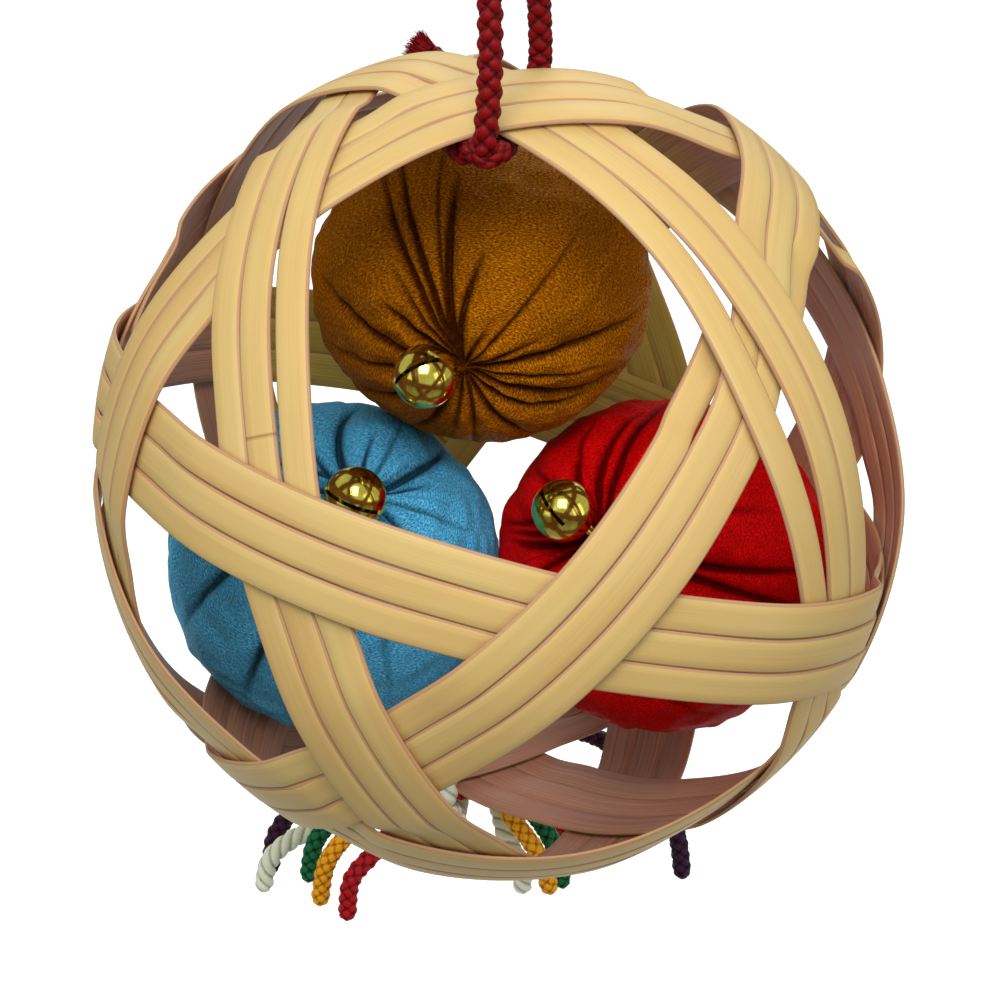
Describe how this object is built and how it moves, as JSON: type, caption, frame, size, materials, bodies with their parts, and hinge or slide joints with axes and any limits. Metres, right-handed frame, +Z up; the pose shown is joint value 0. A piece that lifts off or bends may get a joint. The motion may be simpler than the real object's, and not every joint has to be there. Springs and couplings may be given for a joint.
{
  "type": "kusudama sachet ball in an open woven bamboo basket ball",
  "caption": "Hanging ornament: stuffed crepe sachets with jingle bells inside an open ball woven from bamboo splints, on a braided cord with coloured cords tied beneath.",
  "frame": {"origin": "top of the hanging cord's loop, where whatever holds the ornament up would touch it", "axes": "+Z up along the hanging line; +X to the right and -Y towards the viewer when the ball's wide open side is seen from the front; the ball's centre is 110 mm below the origin"},
  "size_m": [0.1215, 0.1217, 0.194],
  "materials": {
    "bamboo": "shaved bamboo, satin, with fine long grain",
    "crepe_gold": "silky crepe, fine crinkle",
    "crepe_blue": "silky crepe, fine crinkle",
    "crepe_red": "silky crepe, fine crinkle",
    "bell_brass": "polished",
    "cord_crimson": "round braid",
    "cord_purple": "round braid",
    "cord_white": "twisted rope",
    "cord_green": "round braid",
    "cord_red": "round braid",
    "cord_orange": "round braid"
  },
  "bodies": {
    "root": {"splint_a": "bamboo", "splint_b": "bamboo", "splint_c": "bamboo", "splint_d": "bamboo", "splint_e": "bamboo", "splint_f": "bamboo", "sachet_gold": "crepe_gold", "sachet_blue": "crepe_blue", "sachet_red": "crepe_red", "bell_gold": "bell_brass", "bell_blue": "bell_brass", "bell_red": "bell_brass", "hang_cord": "cord_crimson", "hang_tail": "cord_crimson", "hang_knot": "cord_crimson", "cord_purple": "cord_purple", "cord_white": "cord_white", "cord_green": "cord_green", "cord_red": "cord_red", "cord_orange": "cord_orange", "tie_ring": "cord_white", "tie_knot": "cord_white"}
  },
  "joints": []
}
